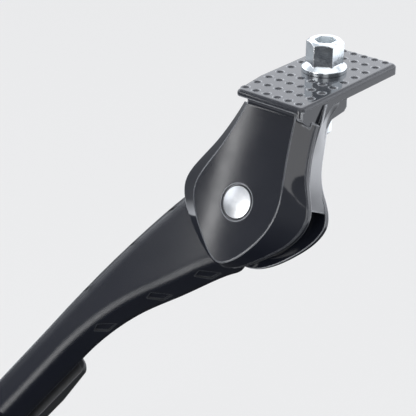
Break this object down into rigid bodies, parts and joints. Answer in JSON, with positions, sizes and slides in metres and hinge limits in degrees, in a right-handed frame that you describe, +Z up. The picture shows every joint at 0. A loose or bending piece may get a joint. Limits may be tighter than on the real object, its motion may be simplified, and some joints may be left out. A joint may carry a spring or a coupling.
{
  "type": "centre-mount kickstand",
  "caption": "Folding single-leg stand: a bumped clamp plate runs down into a dished pivot housing, and a forged leg swings in it and ends in a sliding foot.",
  "frame": {"origin": "fixing bolt's axis at the top face of the clamp plate", "axes": "+X along the plate's short side, towards the side that the leg folds to; +Y along the plate's long side, away from the leg; +Z up, out of the plate's top face"},
  "size_m": [0.1957, 0.1786, 0.2486],
  "materials": {
    "black_paint": "gloss black paint",
    "leg_paint": "gloss black paint",
    "zinc_steel": "bright zinc plate",
    "dark_steel": "oiled steel",
    "bronze": "plain sintered bronze",
    "black_plastic": "matte black plastic",
    "black_rubber": "matte black rubber"
  },
  "bodies": {
    "bracket": {"top_bracket": "black_paint", "rear_cheek": "black_paint", "mounting_bolt": "zinc_steel", "weld_nut": "dark_steel", "pivot_pin": "zinc_steel", "tail_washer": "zinc_steel", "dish_collar": "dark_steel", "spring_disc": "dark_steel", "front_thrust_washer": "dark_steel", "rear_thrust_washer": "dark_steel", "cam_arch": "dark_steel"},
    "leg": {"leg": "leg_paint", "hub_bush": "bronze", "detent_spring": "dark_steel", "end_plate": "dark_steel", "end_screw": "dark_steel"},
    "plunger": {"detent_plunger": "dark_steel"},
    "foot": {"foot_sleeve": "black_plastic", "foot_pad": "black_rubber", "lever_pin": "zinc_steel", "lever_spring": "dark_steel"},
    "lever": {"release_lever": "black_plastic"}
  },
  "joints": [
    {"name": "leg_pivot", "type": "hinge", "parent": "bracket", "child": "leg", "pos_m": [-0.0005, -0.0528, -0.0385], "axis": [0, -0.8829, 0.4695], "range_deg": [0, 95]},
    {"name": "detent_slide", "type": "slide", "parent": "leg", "child": "plunger", "axis": [0.7373, 0.3172, 0.5965], "range_m": [0, 0.002], "stiffness_N_per_m": 500},
    {"name": "foot_slide", "type": "slide", "parent": "leg", "child": "foot", "axis": [-0.5, -0.4066, -0.7647], "range_m": [0, 0.036]},
    {"name": "lever_press", "type": "hinge", "parent": "foot", "child": "lever", "pos_m": [-0.09369, -0.09251, -0.16962], "axis": [0.866, -0.2347, -0.4415], "range_deg": [0, 3.2], "stiffness_Nm_per_rad": 2.5}
  ]
}
